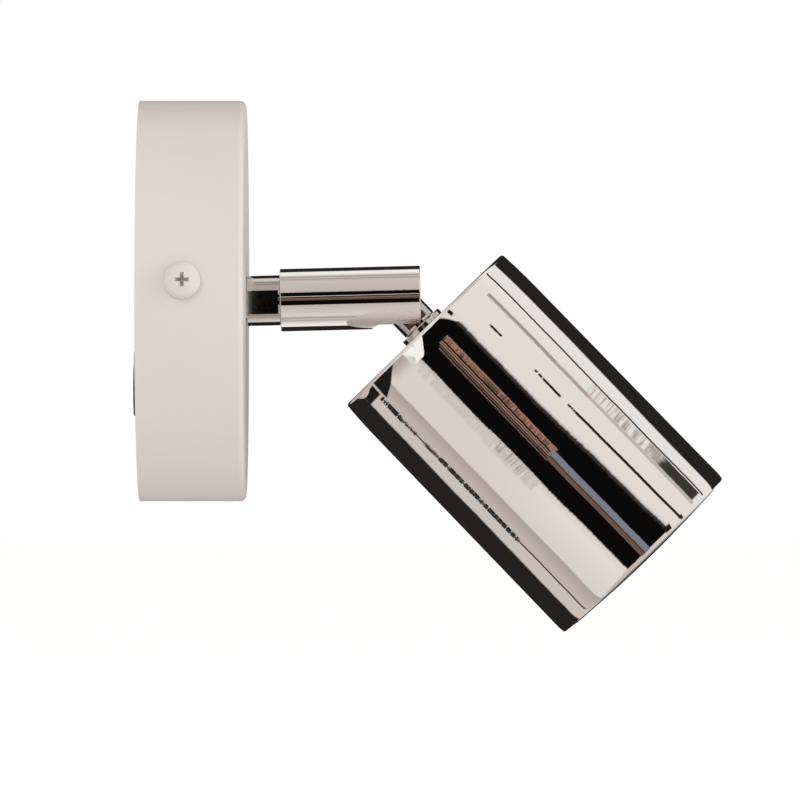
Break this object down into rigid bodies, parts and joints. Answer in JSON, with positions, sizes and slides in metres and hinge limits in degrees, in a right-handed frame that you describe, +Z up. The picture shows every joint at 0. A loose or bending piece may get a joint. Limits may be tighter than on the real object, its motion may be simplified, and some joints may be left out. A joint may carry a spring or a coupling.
{
  "type": "pivoting spotlight wall light",
  "caption": "Round drum rose on a wall plate, a short swivelling arm with a hidden knuckle hinge, and a cylindrical chrome head holding a twist-lock reflector lamp.",
  "frame": {"origin": "centre of the rose's round back rim, on the wall's surface", "axes": "+X out of the wall along the arm, +Z up, -Y towards the viewer of the picture; the arm's own axis stands 1.4 degrees above +X"},
  "size_m": [0.1474, 0.1058, 0.1325],
  "materials": {
    "white_paint": "satin powder coat",
    "zinc_steel": "bright zinc",
    "spring_steel": "bare spring steel",
    "black_rubber": "smooth moulded",
    "white_nylon": "moulded nylon",
    "clamp_brass": "machined",
    "nickel": "turned, nickel plated",
    "chrome_plate": "mirror polished plate",
    "cast_alloy": "machined alloy",
    "brown_core": "extruded sleeve",
    "blue_core": "extruded sleeve",
    "earth_core": "striped extruded sleeve",
    "porcelain": "unglazed",
    "reflector_coat": "bright vacuum coating",
    "bezel_grey": "satin",
    "clear_glass": "polished"
  },
  "bodies": {
    "rose": {"rose_cup": "white_paint", "wall_plate": "zinc_steel", "side_screws": "white_paint", "cable_grommet": "black_rubber", "terminal_block": "white_nylon", "terminal_clamps": "clamp_brass", "terminal_screws": "zinc_steel", "block_screw": "zinc_steel", "earth_screw": "clamp_brass", "earth_washer": "clamp_brass", "plate_earth_lead": "earth_core", "swivel_stop_pin": "zinc_steel", "rose_live_lead": "brown_core", "rose_earth_lead": "earth_core", "rose_neutral_lead": "blue_core"},
    "arm": {"swivel_stud": "nickel", "friction_washer": "white_nylon", "stop_washer": "zinc_steel", "spring_washer": "spring_steel", "stud_nut": "nickel", "arm_tube": "chrome_plate", "hinge_fork": "cast_alloy", "pivot_pins": "spring_steel", "knuckle_washers": "spring_steel", "arm_live_lead": "brown_core", "arm_earth_lead": "earth_core", "arm_neutral_lead": "blue_core"},
    "head": {"hinge_stem": "nickel", "stem_washer": "nickel", "head_shell": "chrome_plate", "lamp_bracket": "zinc_steel", "head_earth_tag": "clamp_brass", "lock_washer": "spring_steel", "stem_nut": "nickel", "lamp_holder": "porcelain", "holder_contacts": "clamp_brass", "holder_screws": "zinc_steel", "head_earth_lead": "earth_core", "head_live_lead": "brown_core", "head_neutral_lead": "blue_core"},
    "lamp": {"lamp_base": "porcelain", "lamp_pins": "nickel", "lamp_reflector": "reflector_coat", "lamp_bezel": "bezel_grey", "lamp_lens": "clear_glass", "lamp_capsule": "clear_glass"}
  },
  "joints": [
    {"name": "arm_swivel", "type": "hinge", "parent": "rose", "child": "arm", "pos_m": [0.0266, 0, 0], "axis": [0.9997, 0, 0.0244], "range_deg": [-160, 160]},
    {"name": "head_tilt", "type": "hinge", "parent": "arm", "child": "head", "pos_m": [0.06334, 0, 0.0009], "axis": [0, 1, 0], "range_deg": [-62.3, 42.7]},
    {"name": "lamp_twist", "type": "hinge", "parent": "head", "child": "lamp", "pos_m": [0.06334, 0, 0.0009], "axis": [0.6959, 0, -0.7181], "range_deg": [0, 25]}
  ]
}
